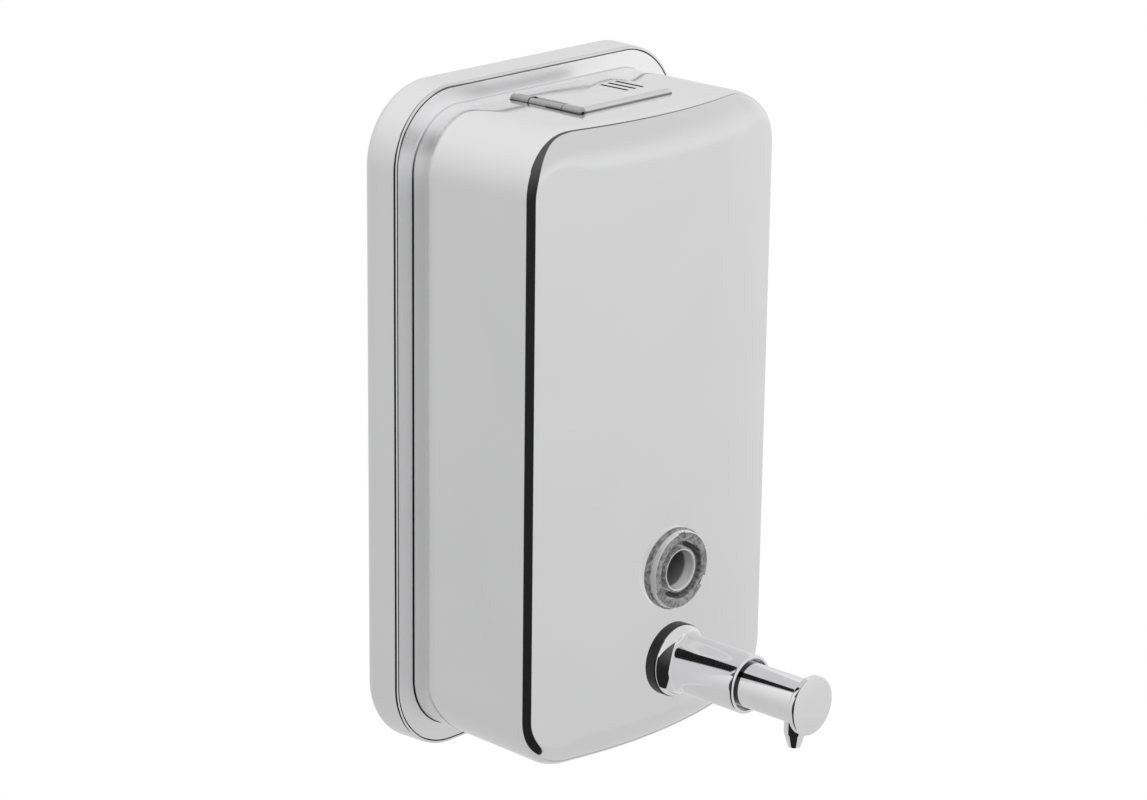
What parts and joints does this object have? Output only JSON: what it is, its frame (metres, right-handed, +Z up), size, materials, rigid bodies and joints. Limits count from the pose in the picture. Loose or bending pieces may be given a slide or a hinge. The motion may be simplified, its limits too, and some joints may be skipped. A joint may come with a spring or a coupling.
{
  "type": "wall mounted soap dispenser",
  "caption": "Wall mounted liquid soap dispenser with a bowed metal tank on a back pan, a horizontal push pump, a round sight glass and a hinged, locked filler lid on top.",
  "frame": {"origin": "on the wall plane, on the bracket's back face, at the centre of the back pan's outline", "axes": "+Y into the wall, +Z up, +X to the right as a user facing the wall sees it"},
  "size_m": [0.121, 0.1243, 0.2072],
  "materials": {
    "stainless_satin": "satin stainless steel, fine brushed grain, soft reflections",
    "stainless_bright": "bright rolled stainless steel, smooth",
    "zinc_plate": "zinc plated sheet steel, dull",
    "chrome": "polished chrome plating",
    "rubber": "black moulded rubber, matt",
    "clear_plastic": "clear moulded plastic, glossy",
    "white_plastic": "white moulded plastic",
    "brass": "plain machined brass"
  },
  "bodies": {
    "housing": {"wall_bracket": "zinc_plate", "back_pan": "stainless_satin", "bracket_lock_screw": "stainless_bright", "tank_back": "stainless_bright", "front_shell": "stainless_satin", "lid_hinge_bracket": "stainless_bright", "lid_hinge_pin": "stainless_bright", "sight_glass": "clear_plastic", "sight_glass_gasket": "rubber", "sight_glass_nut": "white_plastic", "pump_seat_ring": "rubber", "pump_sleeve": "chrome", "pump_gasket": "rubber", "pump_lock_nut": "white_plastic", "pump_cylinder": "white_plastic", "inlet_tube": "white_plastic", "return_spring": "stainless_bright"},
    "lid": {"lid": "stainless_satin", "lock_housing": "zinc_plate"},
    "lock_bolt": {"lock_bolt": "brass"},
    "plunger": {"plunger": "chrome", "plunger_cap": "chrome", "nozzle": "chrome", "piston": "white_plastic", "piston_seal": "rubber", "outlet_spring": "stainless_bright"},
    "outlet_ball": {"outlet_ball": "stainless_bright"},
    "inlet_ball": {"inlet_ball": "stainless_bright"}
  },
  "joints": [
    {"name": "plunger_press", "type": "slide", "parent": "housing", "child": "plunger", "axis": [0, 1, 0], "range_m": [0, 0.012], "stiffness_N_per_m": 600, "springref_m": -0.003, "deforming": ["return_spring"]},
    {"name": "lid_hinge", "type": "hinge", "parent": "housing", "child": "lid", "pos_m": [-0.0185, -0.034, 0.0959], "axis": [0, -1, 0], "range_deg": [0, 100]},
    {"name": "lock_bolt_slide", "type": "slide", "parent": "lid", "child": "lock_bolt", "axis": [0, -1, 0], "range_m": [0, 0.004]},
    {"name": "outlet_ball_lift", "type": "slide", "parent": "plunger", "child": "outlet_ball", "axis": [0, -1, 0], "range_m": [0, 0.0015], "stiffness_N_per_m": 30, "springref_m": -0.002, "deforming": ["outlet_spring"]},
    {"name": "inlet_ball_lift", "type": "slide", "parent": "housing", "child": "inlet_ball", "axis": [0, 0, 1], "range_m": [0, 0.0015]}
  ]
}
